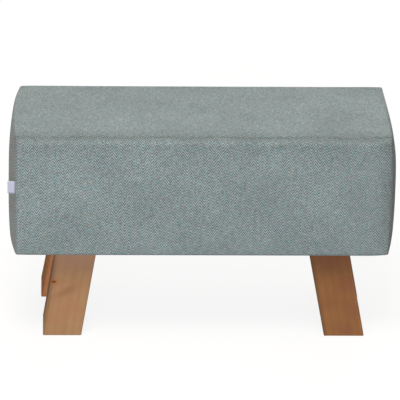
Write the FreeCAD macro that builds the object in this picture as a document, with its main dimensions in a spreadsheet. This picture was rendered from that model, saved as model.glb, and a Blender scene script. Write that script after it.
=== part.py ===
import FreeCAD, Part
import os
import re
import Sketcher
from FreeCAD import Placement, Rotation, Vector

# Upholstered bench in millimetres: X runs along the bench, the front faces -Y, Z rises from the floor

# Driving dimensions
SIZES = {
    # Upholstered block
    "bench_length": 800,  # over the swollen ends
    "bench_depth": 336,  # over the swollen front and rear
    "seat_height": 450,  # floor to the top of the crown
    "underside_height": 196,  # floor to the underside of the cover
    "top_crown": 4,  # rise of the seat over its edges
    "side_bulge": 3,  # swell of the front and rear over their edges
    "end_bulge": 13,  # swell of each end over its front and rear seams, at its fullest
    "end_lift": -20,  # fullest level of the ends above mid height
    "end_top_bulge": 3,  # the same swell along the top
    "end_bottom_bulge": 11,  # and along the bottom
    "end_top_draw": 2,  # seams drawn in at the top
    "end_bottom_draw": 4,  # and at the bottom
    "top_edge_radius": 9,
    "bottom_edge_radius": 4,
    # Cover, label and dust cover
    "fabric": 1.6,
    "seam_lap": 15,  # front and rear cloth on the seat, from the rounded edge to the seam
    "turn_under": 15,  # cover drawn under the frame, measured from its outer face
    "notch_gap": 1,  # around each leg
    "label_level": 344,  # floor to the middle of the label
    "label_height": 25,
    "label_length": 15,
    "label_ribbon": 0.8,
    "label_angle": 35,  # degrees the label turns back from the line of the front
    "dust_cloth": 0.8,
    "dust_cloth_inset": 4,  # in from the outer faces of the frame
    # Padding
    "wadding": 4,
    "seat_foam": 50,
    "side_foam": 28,
    "end_foam": 24,
    # Frame
    "board": 18,  # rails, end boards and rib
    "deck_board": 12,
    "rib_height": 90,
    "bearer_board": 30,
    "bearer_width": 120,
    "housing_depth": 6,  # bearers and rib let into the rails
    "joint_gap": 0.1,
    "block_side": 30,  # corner blocks
    # Legs
    "leg_width": 83,  # cut level
    "leg_thickness": 55,
    "leg_inset": 100,  # top's outer corner, in from the end of the bench
    "front_left_splay": 32,  # foot of the leg further out than its top
    "rear_left_splay": 37,
    "front_right_splay": 38,
    "rear_right_splay": 38,
    "leg_setback": 3.4,  # behind the front and rear faces of the frame
    "leg_edge_radius": 2,
    "foot_trim_height": 24,  # upright trim on the outer foot corner of the left legs
    # Leg fixings
    "stud_diameter": 8,
    "stud_grip": 45,  # length held in the leg
    "stud_point": 6,
    "stud_tail": 3,  # thread standing above the nut
    "stud_spacing": 40,
    "washer_diameter": 24,
    "washer_plate": 2,
    "washer_gap": 1,  # to the inside of the rail
    "nut_flats": 13,
    "nut_height": 6.5,
    # Screws
    "frame_screw": 5,
    "frame_screw_head": 10,
    "frame_screw_length": 50,
    "frame_screw_edge": 25,  # from the top and bottom edges of the boards
    "bearer_screw_spacing": 80,
    "deck_screw": 4,
    "deck_screw_head": 8,
    "deck_screw_length": 40,
    "deck_screw_edge": 45,  # first and last screws from the ends of the deck
    "deck_end_spacing": 60,
    # Staples
    "staple_crown": 11,
    "staple_leg": 8,
    "staple_wire": 0.7,
    "staple_inset": 5,  # from the faces of the boards that take them
    "staple_pitch": 45,
}

# Sizes that follow from the driving dimensions
FITS = {
    "seam_half_depth": "bench_depth / 2 - side_bulge",
    "edge_height": "seat_height - top_crown",
    "seam_line": "seam_half_depth - top_edge_radius - seam_lap",
    "padding": "fabric + wadding",
    "frame_bottom": "underside_height + fabric",
    "seam_half_length": "bench_length / 2 - end_bulge",
    "end_radius": "(seam_half_depth^2 + end_bulge^2) / (2 * end_bulge)",
    "end_level": "(underside_height + seat_height) / 2 + end_lift",
    "frame_half_length": "seam_half_length - padding - end_foam",
    "frame_half_depth": "seam_half_depth - padding - side_foam",
    "deck_top": "edge_height - padding - seat_foam",
    "rail_top": "deck_top - deck_board",
    "rail_inside": "frame_half_depth - board",
    "rail_middle": "frame_half_depth - board / 2",
    "end_inside": "frame_half_length - board",
    "end_middle": "frame_half_length - board / 2",
    "margin_half_length": "frame_half_length - turn_under",
    "margin_half_depth": "frame_half_depth - turn_under",
    "housing_face": "rail_inside + housing_depth",
    "tenon_face": "housing_face - joint_gap",
    "rib_bottom": "rail_top - rib_height",
    "bearer_top": "frame_bottom + bearer_board",
    "leg_outside": "bench_length / 2 - leg_inset",
    "leg_inside": "leg_outside - leg_width",
    "leg_middle": "leg_outside - leg_width / 2",
    "leg_front": "frame_half_depth - leg_setback",
    "leg_back": "leg_front - leg_thickness",
    "stud_line": "rail_inside - washer_diameter / 2 - washer_gap",
    "stud_top": "bearer_board + washer_plate + nut_height + stud_tail",
    "label_root": "bench_length / 2 - end_radius + sqrt(end_radius^2 - (bench_depth / 2)^2)",
}

doc = FreeCAD.newDocument("UpholsteredBench")
CELLS = {}
SUB_PARTS = []


def bound(formula):
    """The formula with every named size replaced by the cell that holds it."""
    return re.sub(r"[a-z_]{3,}", lambda word: CELLS.get(word.group(), word.group()), formula)


def fill_sheet(name, entries, lead):
    """A sheet with one aliased cell for each entry."""
    sheet = doc.addObject("Spreadsheet::Sheet", name)
    for row, (alias, entry) in enumerate(entries.items(), start=1):
        sheet.set(f"A{row}", alias)
        sheet.set(f"B{row}", lead + bound(str(entry)))
        sheet.setAlias(f"B{row}", alias)
        CELLS[alias] = f"{name}.{alias}"
    doc.recompute()
    return sheet


def number(formula):
    """The present value of a formula."""
    return float(fit_sheet.evalExpression(bound(formula)))


def sub_part(label, item):
    """Names a finished piece and lists it for writing."""
    item.Label = label
    SUB_PARTS.append(item)
    return item


def box(name, x_span, y_span, z_span):
    """A block between two bound values on each axis."""
    item = doc.addObject("Part::Box", name)
    spans = (("Length", "x", x_span), ("Width", "y", y_span), ("Height", "z", z_span))
    for side, axis, (low, high) in spans:
        item.setExpression(side, bound(f"({high}) - ({low})"))
        item.setExpression(f"Placement.Base.{axis}", bound(low))
    return item


def both(size):
    """The span from minus a size to plus that size."""
    return f"-({size})", size


def span(side, near, far):
    """The span between two distances from the middle, on the side given by its sign."""
    return (near, far) if side > 0 else (f"-({far})", f"-({near})")


def boolean(kind, name, base, tool):
    """One boolean of two objects."""
    item = doc.addObject(kind, name)
    item.Base = base
    item.Tool = tool
    return item


def common(name, base, tool):
    """What two objects share."""
    return boolean("Part::Common", name, base, tool)


def cut(name, base, *tools):
    """An object less every tool."""
    for tool in tools:
        base = boolean("Part::Cut", name, base, tool)
    return base


def gather(name, items):
    """Separate objects held together as one cutting tool."""
    item = doc.addObject("Part::Compound", name)
    item.Links = items
    return item


def new_sketch(body, name, role):
    """An empty sketch on one of its body's origin planes."""
    sketch = body.newObject("Sketcher::SketchObject", name)
    plane = next(item for item in body.Origin.OriginFeatures if item.Role == role)
    sketch.AttachmentSupport = [(plane, "")]
    sketch.MapMode = "FlatFace"
    return sketch


def bind_constraint(sketch, formula, kind, *where):
    """A dimension of a sketch bound to a formula."""
    index = sketch.addConstraint(Sketcher.Constraint(kind, *where, number(formula)))
    sketch.setExpression(f"Constraints[{index}]", bound(formula))


def pin_corner(sketch, edge, x, y):
    """Holds the start of an edge at bound distances from the sketch's origin."""
    for kind, formula, axis in (("DistanceX", x, -2), ("DistanceY", y, -1)):
        if formula == "0":
            sketch.addConstraint(Sketcher.Constraint("PointOnObject", edge, 1, axis))
        else:
            bind_constraint(sketch, formula, kind, -1, 1, edge, 1)


def outline(body, name, role, corners):
    """A closed sketch with straight edges between bound corners."""
    sketch = new_sketch(body, name, role)
    points = [Vector(number(x), number(y), 0) for x, y in corners]
    for start, end in zip(points, points[1:] + points[:1]):
        sketch.addGeometry(Part.LineSegment(start, end), False)
    for edge, (x, y) in enumerate(corners):
        previous = (edge - 1) % len(corners)
        sketch.addConstraint(Sketcher.Constraint("Coincident", previous, 2, edge, 1))
        pin_corner(sketch, edge, x, y)
    return sketch


def pad(body, sketch, length, side_type="One side"):
    """A sketch made solid over a bound length."""
    feature = body.newObject("PartDesign::Pad", "Pad")
    feature.Profile = sketch
    feature.SideType = side_type
    feature.setExpression("Length", bound(length))
    doc.recompute()
    return feature


def round_edges(body, base, radius, wanted):
    """Rounds the wanted edges of a feature."""
    names = [f"Edge{index}" for index, edge in enumerate(base.Shape.Edges, start=1) if wanted(edge)]
    feature = body.newObject("PartDesign::Fillet", "Rounding")
    feature.Base = (base, names)
    feature.setExpression("Radius", bound(radius))
    doc.recompute()
    return feature


def turned(name, corners):
    """A body turned about Z from corners given as radius and height."""
    body = doc.addObject("PartDesign::Body", name)
    sketch = outline(body, f"{name}_profile", "XZ_Plane", corners)
    feature = body.newObject("PartDesign::Revolution", "Turning")
    feature.Profile = sketch
    feature.ReferenceAxis = (sketch, ["V_Axis"])
    feature.Angle = 360
    doc.recompute()
    return body


def scatter(name, pattern, places):
    """Separate copies of one small body at many places."""
    item = doc.addObject("Part::Feature", name)
    copies = []
    for place in places:
        copy = pattern.Shape.copy()
        copy.Placement = place
        copies.append(copy)
    item.Shape = Part.makeCompound(copies)
    return item


def swell_radius(chord, rise):
    """Radius of the arc that rises by so much over a chord."""
    return f"(({chord})^2 / 4 + ({rise})^2) / (2 * ({rise}))"


def padded_section(name, inset, bottom, bottom_radius=None):
    """A long bar with a flat bottom, a crowned top and swollen sides, drawn in by an inset."""
    body = doc.addObject("PartDesign::Body", name)
    sketch = new_sketch(body, f"{name}_section", "YZ_Plane")
    half, top = f"seam_half_depth - ({inset})", f"edge_height - ({inset})"
    places = [(f"-({half})", bottom), (half, bottom), (half, top), (f"-({half})", top)]
    corners = [Vector(number(y), number(z)) for y, z in places]
    middle = number(f"(({bottom}) + ({top})) / 2")
    swell = Vector(number(half) + number("side_bulge"), middle)
    crown = Vector(0, number(top) + number("top_crown"))
    sketch.addGeometry(Part.LineSegment(corners[0], corners[1]), False)
    sketch.addGeometry(Part.Arc(corners[1], swell, corners[2]), False)
    sketch.addGeometry(Part.Arc(corners[2], crown, corners[3]), False)
    sketch.addGeometry(Part.Arc(corners[3], Vector(-swell.x, middle), corners[0]), False)
    for edge, (y, z) in enumerate(places):
        sketch.addConstraint(Sketcher.Constraint("Coincident", (edge - 1) % 4, 2, edge, 1))
        pin_corner(sketch, edge, y, z)
    side_radius = swell_radius(f"{top} - ({bottom})", "side_bulge")
    top_radius = swell_radius(f"2 * ({half})", "top_crown")
    for edge, radius in ((1, side_radius), (2, top_radius), (3, side_radius)):
        bind_constraint(sketch, radius, "Radius", edge)
    bar = pad(body, sketch, "2 * bench_length", "Symmetric")

    def runs_along(edge, above):
        return edge.BoundBox.XLength > number("bench_length") and (edge.BoundBox.ZMin > middle) == above

    rounded = round_edges(body, bar, f"top_edge_radius - ({inset})", lambda edge: runs_along(edge, True))
    if bottom_radius:
        round_edges(body, rounded, bottom_radius, lambda edge: runs_along(edge, False))
    return body


def end_section(body, name, level, bulge, draw, inset):
    """A level slice with straight front and rear and bowed ends that pass through the end seams."""
    sketch = new_sketch(body, name, "XY_Plane")
    sketch.setExpression("AttachmentOffset.Base.z", bound(level))
    radius = swell_radius("2 * seam_half_depth", bulge)
    centre = f"seam_half_length - ({draw}) - ({inset}) + {bulge} - {radius}"
    bow, middle, wide = number(radius), number(centre), number("bench_depth")
    half = middle + (bow**2 - wide**2) ** 0.5
    corners = [Vector(-half, -wide), Vector(half, -wide), Vector(half, wide), Vector(-half, wide)]
    sketch.addGeometry(Part.LineSegment(corners[0], corners[1]), False)
    sketch.addGeometry(Part.Arc(corners[1], Vector(middle + bow, 0), corners[2]), False)
    sketch.addGeometry(Part.LineSegment(corners[2], corners[3]), False)
    sketch.addGeometry(Part.Arc(corners[3], Vector(-middle - bow, 0), corners[0]), False)
    for edge, y in enumerate(("-bench_depth", "-bench_depth", "bench_depth", "bench_depth")):
        sketch.addConstraint(Sketcher.Constraint("Coincident", (edge + 3) % 4, 2, edge, 1))
        bind_constraint(sketch, y, "DistanceY", -1, 1, edge, 1)
    for edge, place in ((1, centre), (3, f"-({centre})")):
        sketch.addConstraint(Sketcher.Constraint("PointOnObject", edge, 3, -1))
        bind_constraint(sketch, place, "DistanceX", -1, 1, edge, 3)
        bind_constraint(sketch, radius, "Radius", edge)
    return sketch


def end_swell(name, inset):
    """A broad block whose two ends swell between the bottom and the top, drawn in by an inset."""
    body = doc.addObject("PartDesign::Body", name)
    levels = (
        ("low", "underside_height - fabric", "end_bottom_bulge", "end_bottom_draw"),
        ("full", "end_level", "end_bulge", "0"),
        ("high", "seat_height + fabric", "end_top_bulge", "end_top_draw"),
    )
    slices = [end_section(body, f"{name}_{word}", *sizes, inset) for word, *sizes in levels]
    loft = body.newObject("PartDesign::AdditiveLoft", "Swell")
    loft.Profile = slices[0]
    loft.Sections = slices[1:]
    doc.recompute()
    return body


fill_sheet("Size", SIZES, "")
fit_sheet = fill_sheet("Fit", FITS, "=")

ALL_X = both("bench_length")
ALL_Y = both("bench_depth")
BLOCK_Z = ("underside_height - fabric", "2 * seat_height")
SIDES = {"left": -1, "right": 1}
ROWS = {"front": -1, "rear": 1}

# Screws: countersunk head, shank and point, with a drill of the same form and a little clearance


def screw_corners(kind, gap):
    """Half profile of a screw with its head's face at zero height."""
    shank = f"{kind} / 2 + {gap}"
    head = f"{kind}_head / 2 + {gap}"
    return [
        ("0", "0"),
        (head, "0"),
        (shank, f"-({head} - ({shank}))"),
        (shank, f"-({kind}_length - {kind})"),
        ("0", f"-({kind}_length + {gap})"),
    ]


def frame_screw_places():
    """Through both rails into the end boards, the bearers and the rib."""
    low, high = number("frame_bottom + frame_screw_edge"), number("rail_top - frame_screw_edge")
    spots = [(0, high), (0, number("rib_bottom + frame_screw_edge"))]
    bearer_level = number("frame_bottom + bearer_board / 2")
    for side in SIDES.values():
        spots += [(side * number("end_middle"), level) for level in (low, (low + high) / 2, high)]
        for shift in (-0.5, 0.5):
            x = number("leg_middle") + shift * number("bearer_screw_spacing")
            spots.append((side * x, bearer_level))
    places = []
    for row in ROWS.values():
        drive = Rotation(Vector(0, 0, -1), Vector(0, -row, 0))
        places += [Placement(Vector(x, row * number("frame_half_depth"), z), drive) for x, z in spots]
    return places


def deck_screw_places():
    """Down through the deck into the rails and the end boards."""
    reach = number("frame_half_length - deck_screw_edge")
    spots = []
    for row in ROWS.values():
        spots += [(share * reach, row * number("rail_middle")) for share in (-1, -1 / 3, 1 / 3, 1)]
        for side in SIDES.values():
            spots.append((side * number("end_middle"), row * number("deck_end_spacing / 2")))
    return [Placement(Vector(x, y, number("deck_top")), Rotation()) for x, y in spots]


drills = {}
for kind, places in (("frame_screw", frame_screw_places()), ("deck_screw", deck_screw_places())):
    screw = turned(kind, screw_corners(kind, "0"))
    sub_part(f"{kind}s", scatter(f"{kind}_set", screw, places))
    drill = turned(f"{kind}_drill", screw_corners(kind, "joint_gap"))
    drills[kind] = scatter(f"{kind}_holes", drill, places)

# Leg fixings: two studs in the top of each leg, with a washer and a nut above the bearer


def stud_corners(gap):
    """Half profile of a stud whose zero height is the top of the leg."""
    radius = f"stud_diameter / 2 + {gap}"
    return [
        ("0", f"-(stud_grip + {gap})"),
        (radius, "-(stud_grip - stud_point)"),
        (radius, f"stud_top + {gap}"),
        ("0", f"stud_top + {gap}"),
    ]


def stud_places(level):
    """The eight stud positions at one height."""
    places = []
    for side in SIDES.values():
        for row in ROWS.values():
            for shift in (-0.5, 0.5):
                x = side * (number("leg_middle") + shift * number("stud_spacing"))
                places.append(Placement(Vector(x, row * number("stud_line"), number(level)), Rotation()))
    return places


def hexagon_nut():
    """A hexagon nut with a plain bore."""
    body = doc.addObject("PartDesign::Body", "nut")
    reach = "nut_flats / sqrt(3)"
    corners = [(f"{reach} * cos({turn})", f"{reach} * sin({turn})") for turn in range(15, 375, 60)]
    sketch = outline(body, "nut_outline", "XY_Plane", corners)
    bore = sketch.addGeometry(Part.Circle(Vector(), Vector(0, 0, 1), number(fixing_bore)), False)
    sketch.addConstraint(Sketcher.Constraint("Coincident", bore, 3, -1, 1))
    bind_constraint(sketch, fixing_bore, "Radius", bore)
    pad(body, sketch, "nut_height")
    return body


fixing_bore = "stud_diameter / 2 + joint_gap"
stud = turned("stud", stud_corners("0"))
stud_drill = turned("stud_drill", stud_corners("joint_gap"))
washer = turned("washer", [
    (fixing_bore, "0"),
    ("washer_diameter / 2", "0"),
    ("washer_diameter / 2", "washer_plate"),
    (fixing_bore, "washer_plate"),
])
sub_part("leg_studs", scatter("stud_set", stud, stud_places("frame_bottom")))
stud_holes = scatter("stud_holes", stud_drill, stud_places("frame_bottom"))
sub_part("leg_washers", scatter("washer_set", washer, stud_places("bearer_top")))
sub_part("leg_nuts", scatter("nut_set", hexagon_nut(), stud_places("bearer_top + washer_plate")))

# Staples: one row through the cover's margin, one through the dust cover, both into the frame


def staple_body():
    """A wire staple with its crown at the bottom and its legs up."""
    body = doc.addObject("PartDesign::Body", "staple")
    half, inner = "staple_crown / 2", "staple_crown / 2 - staple_wire"
    corners = [
        (f"-({half})", "0"),
        (half, "0"),
        (half, "staple_leg"),
        (inner, "staple_leg"),
        (inner, "staple_wire"),
        (f"-({inner})", "staple_wire"),
        (f"-({inner})", "staple_leg"),
        (f"-({half})", "staple_leg"),
    ]
    sketch = outline(body, "staple_outline", "XZ_Plane", corners)
    pad(body, sketch, "staple_wire", "Symmetric")
    return body


def evenly(reach):
    """Positions at about the staple pitch, out to a reach each way."""
    count = max(1, int(reach / number("staple_pitch")))
    return [reach * step / count for step in range(-count, count + 1)]


def staple_places(rail_line, end_line, level):
    """Along the rails clear of the legs, and along the end boards between the legs."""
    clear = number("notch_gap + staple_crown / 2 + staple_wire")
    inside, outside = number("leg_inside") - clear, number("leg_outside") + clear
    height = number(level)
    places = []
    for row in ROWS.values():
        for x in evenly(number("end_inside")):
            if not inside < abs(x) < outside:
                places.append(Placement(Vector(x, row * number(rail_line), height), Rotation()))
    for side in SIDES.values():
        for y in evenly(number("leg_back")):
            place = Vector(side * number(end_line), y, height)
            places.append(Placement(place, Rotation(Vector(0, 0, 1), 90)))
    return places


staple = staple_body()
cover_line = ("frame_half_depth - staple_inset", "frame_half_length - staple_inset")
dust_line = ("rail_inside + staple_inset", "end_inside + staple_inset")
cover_staples = scatter("cover_staple_set", staple, staple_places(*cover_line, "underside_height"))
dust_level = "underside_height - dust_cloth - staple_wire"
dust_staples = scatter("dust_staple_set", staple, staple_places(*dust_line, dust_level))
sub_part("cover_staples", cover_staples)
sub_part("dust_cover_staples", dust_staples)
staples = (cover_staples, dust_staples)

# Frame: two full-length rails, end boards between them, a deck on top, bearers and rib let in

FRAME_Z = ("frame_bottom", "rail_top")
bearer_x = ("leg_middle - bearer_width / 2", "leg_middle + bearer_width / 2")
housing_x = ("leg_middle - bearer_width / 2 - joint_gap", "leg_middle + bearer_width / 2 + joint_gap")

for row_name, row in ROWS.items():
    rail_y = span(row, "rail_inside", "frame_half_depth")
    rail = box("rail_board", both("frame_half_length"), rail_y, FRAME_Z)
    slot_y = span(row, "rail_inside - joint_gap", "housing_face")
    rib_z = ("rib_bottom - joint_gap", "deck_top")
    bearer_z = ("underside_height", "bearer_top + joint_gap")
    slots = [box("rib_housing", both("board / 2 + joint_gap"), slot_y, rib_z)]
    for side in SIDES.values():
        slots.append(box("bearer_housing", span(side, *housing_x), slot_y, bearer_z))
    tools = (gather("housings", slots), drills["frame_screw"], drills["deck_screw"], *staples)
    sub_part(f"{row_name}_rail", cut("rail", rail, *tools))

for side_name, side in SIDES.items():
    end_board = box("end_board", span(side, "end_inside", "frame_half_length"), both("rail_inside"), FRAME_Z)
    tools = (drills["frame_screw"], drills["deck_screw"], *staples)
    sub_part(f"{side_name}_end_board", cut("end", end_board, *tools))
    bearer = box("bearer_board", span(side, *bearer_x), both("tenon_face"), ("frame_bottom", "bearer_top"))
    tools = (drills["frame_screw"], stud_holes, *staples)
    sub_part(f"{side_name}_leg_bearer", cut("bearer", bearer, *tools))

rib = box("rib_board", both("board / 2"), both("tenon_face"), ("rib_bottom", "rail_top"))
sub_part("centre_rib", cut("rib", rib, drills["frame_screw"]))

deck = box("deck_sheet", both("frame_half_length"), both("frame_half_depth"), ("rail_top", "deck_top"))
sub_part("seat_deck", cut("deck", deck, drills["deck_screw"]))

for row_name, row in ROWS.items():
    for side_name, side in SIDES.items():
        block_x = span(side, "end_inside - block_side", "end_inside")
        block_y = span(row, "rail_inside - block_side", "rail_inside")
        block = box("block", block_x, block_y, ("bearer_top", "rail_top"))
        sub_part(f"{row_name}_{side_name}_corner_block", block)

# Legs: splayed planks with the outer foot corner of the left pair trimmed upright


def leg_plank(name, side, row, splay, trimmed):
    """One plank leg with rounded edges."""
    body = doc.addObject("PartDesign::Body", name)
    foot = [(f"leg_outside + {splay}", "0")]
    if trimmed:
        toe = f"leg_outside + {splay} * (1 - foot_trim_height / frame_bottom)"
        foot = [(toe, "foot_trim_height"), (toe, "0")]
    top = [("leg_inside", "frame_bottom"), ("leg_outside", "frame_bottom")]
    heel = (f"leg_inside + {splay}", "0")
    corners = [(f"{side} * ({x})", z) for x, z in (*top, *foot, heel)]
    sketch = outline(body, f"{name}_outline", "XZ_Plane", corners)
    plank = pad(body, sketch, "leg_thickness")
    shoulder = number("frame_bottom - leg_edge_radius")
    round_edges(body, plank, "leg_edge_radius", lambda edge: edge.BoundBox.ZMin < shoulder)
    body.setExpression("Placement.Base.y", bound("leg_front" if row > 0 else "-leg_back"))
    return body


notches = []
for row_name, row in ROWS.items():
    for side_name, side in SIDES.items():
        splay, trimmed = f"{row_name}_{side_name}_splay", side_name == "left"
        plank = leg_plank(f"{row_name}_{side_name}_plank", side, row, splay, trimmed)
        sub_part(f"{row_name}_{side_name}_leg", cut("leg", plank, stud_holes))
        notch_x = span(side, "leg_inside - notch_gap", "leg_outside + notch_gap")
        notch_y = span(row, "leg_back - notch_gap", "leg_front + notch_gap")
        notches.append(box("notch", notch_x, notch_y, ("underside_height - 2 * dust_cloth", "frame_bottom")))
leg_notches = gather("leg_notches", notches)

# Padded forms: the cover's outside, its inside, and the outside of the foam under the wadding

outer_bar = padded_section("cover_outside", "0", "underside_height", "bottom_edge_radius")
inner_bar = padded_section("cover_inside", "fabric", "frame_bottom", "bottom_edge_radius - fabric")
foam_bar = padded_section("foam_outside", "padding", "frame_bottom")
outer_ends = end_swell("cover_outside_ends", "0")
inner_ends = end_swell("cover_inside_ends", "fabric")
foam_ends = end_swell("foam_ends", "padding")

# Cover: top, front and rear panels of one sleeve, end panels inside its mouth, all turned under the frame

sleeve = common("sleeve", cut("tube", outer_bar, inner_bar), outer_ends)
top_zone = box("top_zone", ALL_X, both("seam_line"), ("deck_top", "2 * seat_height"))
sub_part("cover_top_panel", common("top_panel", sleeve, top_zone))
for row_name, row in ROWS.items():
    zone = box(f"{row_name}_zone", ALL_X, span(row, "margin_half_depth", "bench_depth"), BLOCK_Z)
    panel = cut("panel", common("side_wrap", sleeve, zone), top_zone)
    sub_part(f"cover_{row_name}_panel", cut("panel", panel, leg_notches, *staples))

end_sheets = cut("end_sheets", common("end_blocks", inner_bar, outer_ends), inner_ends)
for side_name, side in SIDES.items():
    half = box(f"{side_name}_half", span(side, "0", "bench_length"), ALL_Y, ("0", "2 * seat_height"))
    sheet = common("end_sheet", end_sheets, half)
    zone_x = span(side, "margin_half_length", "bench_length")
    zone_z = ("underside_height - fabric", "frame_bottom")
    margin = common("end_margin", sleeve, box("margin_zone", zone_x, both("margin_half_depth"), zone_z))
    panel = boolean("Part::Fuse", "end_panel", sheet, margin)
    sub_part(f"cover_{side_name}_end_panel", cut("panel", panel, leg_notches, *staples))

# Label: a folded ribbon caught in the front left seam

label = doc.addObject("Part::Box", "ribbon")
label.setExpression("Length", bound("label_length"))
label.setExpression("Width", bound("label_ribbon"))
label.setExpression("Height", bound("label_height"))
label.Placement = Placement(Vector(), Rotation(Vector(0, 0, 1), number("180 - label_angle")))
label.setExpression("Placement.Base.x", bound("-label_root"))
label.setExpression("Placement.Base.y", bound("-bench_depth / 2"))
label.setExpression("Placement.Base.z", bound("label_level - label_height / 2"))
sub_part("side_label", label)

# Dust cover: a thin cloth over the open underside, cut out around the legs

dust_x = both("frame_half_length - dust_cloth_inset")
dust_y = both("frame_half_depth - dust_cloth_inset")
dust_sheet = box("dust_sheet", dust_x, dust_y, ("underside_height - dust_cloth", "underside_height"))
sub_part("dust_cover", cut("dust", dust_sheet, leg_notches, dust_staples))

# Wadding and foam: five slabs round the frame under one soft wrap

foam_block = common("foam_block", foam_bar, foam_ends)
sub_part("wadding_wrap", cut("wadding", common("wadding_block", inner_bar, inner_ends), foam_block))
seat_zone = box("seat_zone", ALL_X, ALL_Y, ("deck_top", "2 * seat_height"))
sub_part("seat_foam", common("seat_slab", foam_block, seat_zone))
FOAM_Z = ("underside_height", "deck_top")
for row_name, row in ROWS.items():
    zone = box("side_zone", ALL_X, span(row, "frame_half_depth", "bench_depth"), FOAM_Z)
    sub_part(f"{row_name}_foam", common("side_slab", foam_block, zone))
for side_name, side in SIDES.items():
    zone = box("end_zone", span(side, "frame_half_length", "bench_length"), both("frame_half_depth"), FOAM_Z)
    sub_part(f"{side_name}_end_foam", common("end_slab", foam_block, zone))

# Every object is checked before anything is written

doc.recompute()
for item in doc.Objects:
    if "Invalid" in item.State or "Error" in item.State:
        raise RuntimeError(f"{item.Name} did not build: {item.State}")
for item in SUB_PARTS:
    if item.Shape.isNull() or not item.Shape.isValid() or not item.Shape.Solids:
        raise RuntimeError(f"{item.Label} has no valid solid")

os.makedirs("parts", exist_ok=True)
for item in SUB_PARTS:
    item.Shape.exportStep(f"parts/{item.Label}.step")
    print(f"{item.Label}: {len(item.Shape.Solids)} solid(s), {item.Shape.Volume / 1000:.2f} cm3")
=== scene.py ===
# %% [markdown]
# # An upholstered bench
# A thick padded block in herringbone tweed stands on four splayed plank legs. The joinery comes from the
# CAD frame and keeps its shape here; this lesson adds what CAD can't: cloth that is pulled tight over
# padding, a ribbon, a thin black underlining, and the look of wool, timber and plated steel.
# The frame is loaded first, because every new piece is placed against it, in metres.

# %% The CAD frame
import math

import bmesh
import bpy
from mathutils import Matrix, Vector, noise
from mathutils.kdtree import KDTree


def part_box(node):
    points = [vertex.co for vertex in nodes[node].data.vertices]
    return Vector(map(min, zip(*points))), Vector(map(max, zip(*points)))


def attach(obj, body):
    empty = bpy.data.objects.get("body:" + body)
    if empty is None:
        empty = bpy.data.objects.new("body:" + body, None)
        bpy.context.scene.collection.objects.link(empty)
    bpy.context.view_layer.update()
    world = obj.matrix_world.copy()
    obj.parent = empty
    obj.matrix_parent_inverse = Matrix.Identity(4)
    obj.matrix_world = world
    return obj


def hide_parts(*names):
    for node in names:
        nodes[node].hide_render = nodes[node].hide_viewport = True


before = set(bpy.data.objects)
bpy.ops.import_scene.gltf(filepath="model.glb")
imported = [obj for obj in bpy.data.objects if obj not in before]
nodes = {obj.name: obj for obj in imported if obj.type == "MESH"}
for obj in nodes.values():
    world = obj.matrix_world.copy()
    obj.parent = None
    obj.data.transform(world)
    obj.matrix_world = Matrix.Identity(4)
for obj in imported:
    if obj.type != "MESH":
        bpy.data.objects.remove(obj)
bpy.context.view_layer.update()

MM = 0.001

# %% [markdown]
# ## Camera
# The picture was taken with a long lens from a little above and a little left of the middle. The place and
# angles were worked out from the corners of the seat and the feet. A long lens keeps upright edges nearly
# parallel, so the focal length matters as much as the place.

# %% Camera at the viewing angle
CAMERA_PLACE = Vector((-0.3072, -8.0561, 3.5114))
PITCH, ROLL, YAW = 0.3842, 0.0174, 0.0378
FOCAL_LENGTH = 376.15
SENSOR_WIDTH = 36
VIEW_END = 200
forward = Vector((math.sin(YAW) * math.cos(PITCH), math.cos(YAW) * math.cos(PITCH), -math.sin(PITCH)))
right = Vector((math.cos(YAW), -math.sin(YAW), 0))
up = right.cross(forward)
across = right * math.cos(ROLL) + up * math.sin(ROLL)
upward = up * math.cos(ROLL) - right * math.sin(ROLL)
lens = bpy.data.cameras.new("long_lens")
lens.lens = FOCAL_LENGTH
lens.sensor_width = SENSOR_WIDTH
lens.clip_end = VIEW_END
camera = bpy.data.objects.new("camera", lens)
turn = Matrix((across, upward, -forward)).transposed().to_4x4()
camera.matrix_world = Matrix.Translation(CAMERA_PLACE) @ turn
bpy.context.scene.collection.objects.link(camera)
bpy.context.scene.camera = camera
print("camera:", FOCAL_LENGTH, "mm lens at", [round(v, 2) for v in CAMERA_PLACE])

# %% [markdown]
# ## Small tools
# Colours are picked as sRGB hex values, as a paint program shows them, but shader sockets expect linear
# light, so one function converts them. Another adds a shader node with its settings and links. Short ones
# build on it for the steps that come up in most materials; a socket knows its node tree, so they need only
# sockets. That keeps a material readable as a list: it starts empty and ends with one shader.

# %% Colour and node helpers


def linear(code):
    """The linear colour of an sRGB hex value."""
    shares = [int(code[at:at + 2], 16) / 255 for at in (1, 3, 5)]
    return (*(c / 12.92 if c <= 0.04045 else ((c + 0.055) / 1.055) ** 2.4 for c in shares), 1)


def add(tree, kind, inputs=None, **settings):
    """One node with its settings; an input that is given a socket is linked, any other value is set."""
    node = tree.nodes.new("ShaderNode" + kind)
    for name, value in settings.items():
        setattr(node, name, value)
    for name, value in (inputs or {}).items():
        if isinstance(value, bpy.types.NodeSocket):
            tree.links.new(value, node.inputs[name])
        else:
            node.inputs[name].default_value = value
    return node


def home(*values):
    """The node tree of the first socket among some values."""
    return next(value.id_data for value in values if isinstance(value, bpy.types.NodeSocket))


def maths(operation, *values):
    """The result of one step of arithmetic."""
    return add(home(*values), "Math", dict(enumerate(values)), operation=operation).outputs[0]


def ramp(value, start=0.0, end=1.0, low=0.0, high=1.0):
    """Goes evenly from low to high while a value goes from start to end."""
    return add(value.id_data, "MapRange", {0: value, 1: start, 2: end, 3: low, 4: high}).outputs[0]


def blend(share, first, second, way="MIX"):
    """A colour between two, which are sockets, linear colours or hex values."""
    pair = [linear(colour) if isinstance(colour, str) else colour for colour in (first, second)]
    inputs = {0: share, 6: pair[0], 7: pair[1]}
    return add(home(share, *pair), "Mix", inputs, data_type="RGBA", blend_type=way).outputs[2]


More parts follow.
